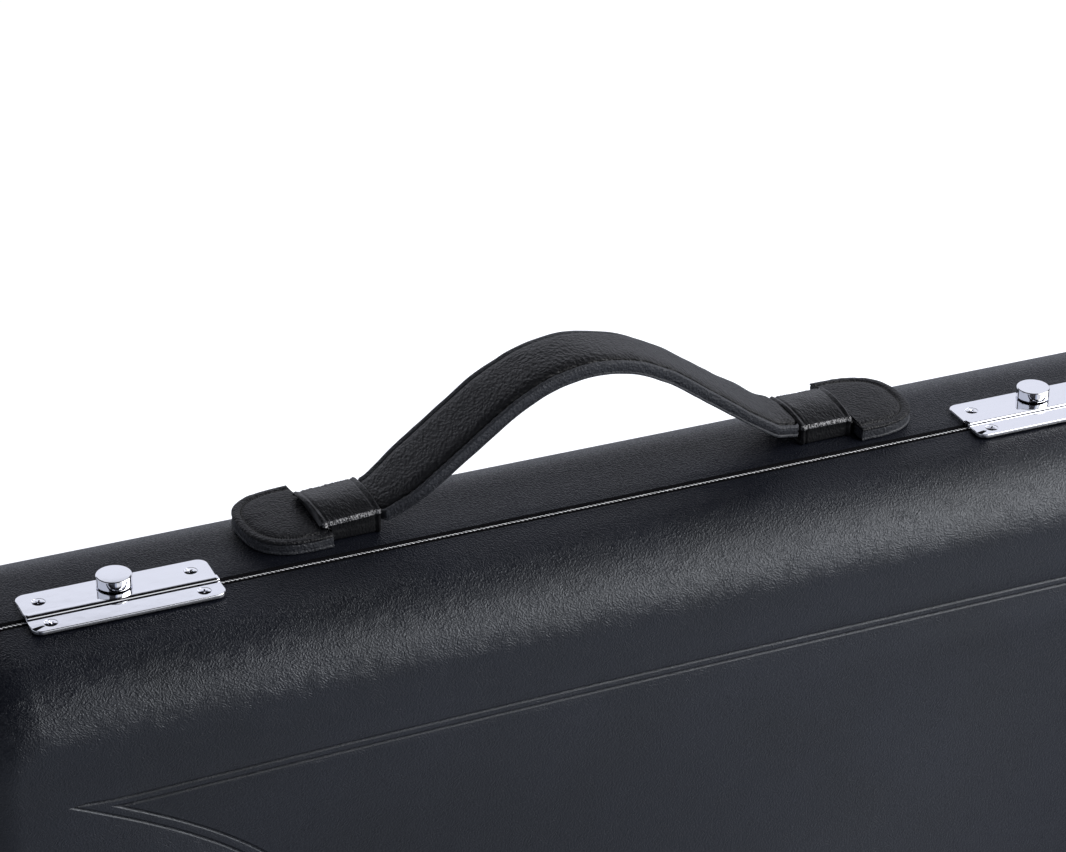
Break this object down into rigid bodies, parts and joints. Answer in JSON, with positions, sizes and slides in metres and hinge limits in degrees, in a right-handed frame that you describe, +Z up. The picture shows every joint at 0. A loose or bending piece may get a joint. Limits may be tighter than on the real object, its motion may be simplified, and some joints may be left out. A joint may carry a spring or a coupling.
{
  "type": "clarinet case",
  "caption": "Hard attache-style case for a clarinet, standing on its spine: hinged lid, push-button latches, sliding strap handle and a fitted interior.",
  "frame": {"origin": "centre of the outline at floor level: midway between the case's ends, midway between the lid's face and the base's back, at the feet's soles", "axes": "+X along the case from the left latch to the right one, as seen from the lid; +Y from the lid's face to the base's back; +Z up, from the spine with the hinges to the side with the handle"},
  "size_m": [0.406, 0.087, 0.2962],
  "materials": {
    "leatherette": "satin, fine pebbled grain, blue-black",
    "plush": "short-pile plush over foam, black",
    "plated": "bright plated",
    "steel": "plain sheet and wire steel",
    "leather": "smooth black, stitched, satin",
    "rubber": "matt black"
  },
  "bodies": {
    "base": {"base_shell": "leatherette", "valance_frame": "plush", "joint_block": "plush", "bell_block": "plush", "small_parts_block": "plush", "accessory_tray": "plush", "handle_strap": "leather", "left_base_latch_plate": "plated", "left_latch_housing": "steel", "left_latch_spring": "steel", "left_base_latch_screw_inner": "plated", "left_base_latch_screw_outer": "plated", "left_sleeve": "leather", "left_sleeve_rivet_front": "steel", "left_sleeve_rivet_rear": "steel", "left_base_hinge_leaf": "steel", "left_hinge_pin": "steel", "left_base_hinge_screw_inner": "steel", "left_base_hinge_screw_outer": "steel", "left_base_foot": "rubber", "right_base_latch_plate": "plated", "right_latch_housing": "steel", "right_latch_spring": "steel", "right_base_latch_screw_inner": "plated", "right_base_latch_screw_outer": "plated", "right_sleeve": "leather", "right_sleeve_rivet_front": "steel", "right_sleeve_rivet_rear": "steel", "right_base_hinge_leaf": "steel", "right_hinge_pin": "steel", "right_base_hinge_screw_inner": "steel", "right_base_hinge_screw_outer": "steel", "right_base_foot": "rubber"},
    "lid": {"lid_shell": "leatherette", "lid_pad": "plush", "left_lid_latch_plate": "plated", "left_catch": "steel", "left_lid_latch_screw_inner": "plated", "left_lid_latch_screw_outer": "plated", "left_lid_hinge_leaf": "steel", "left_lid_hinge_screw_inner": "steel", "left_lid_hinge_screw_outer": "steel", "left_lid_foot": "rubber", "right_lid_latch_plate": "plated", "right_catch": "steel", "right_lid_latch_screw_inner": "plated", "right_lid_latch_screw_outer": "plated", "right_lid_hinge_leaf": "steel", "right_lid_hinge_screw_inner": "steel", "right_lid_hinge_screw_outer": "steel", "right_lid_foot": "rubber"},
    "left_latch": {"left_button": "plated", "left_bolt": "steel"},
    "right_latch": {"right_button": "plated", "right_bolt": "steel"},
    "left_strap_end": {"left_handle_end": "leather"},
    "right_strap_end": {"right_handle_end": "leather"}
  },
  "joints": [
    {"name": "lid_hinge", "type": "hinge", "parent": "base", "child": "lid", "pos_m": [0, -0.0075, 0.0035], "axis": [1, 0, 0], "range_deg": [0, 100]},
    {"name": "left_latch_slide", "type": "slide", "parent": "base", "child": "left_latch", "axis": [-1, 0, 0], "range_m": [0, 0.0026], "stiffness_N_per_m": 800},
    {"name": "right_latch_slide", "type": "slide", "parent": "base", "child": "right_latch", "axis": [1, 0, 0], "range_m": [0, 0.0026], "stiffness_N_per_m": 800},
    {"name": "left_handle_slide", "type": "slide", "parent": "base", "child": "left_strap_end", "axis": [-1, 0, 0], "range_m": [0, 0.0095], "stiffness_N_per_m": 120, "deforming": ["handle_strap"]},
    {"name": "right_handle_slide", "type": "slide", "parent": "base", "child": "right_strap_end", "axis": [1, 0, 0], "range_m": [0, 0.0095], "stiffness_N_per_m": 120}
  ],
  "couplings": [
    {"joint": "right_handle_slide", "follows": "left_handle_slide", "ratio": 1}
  ]
}
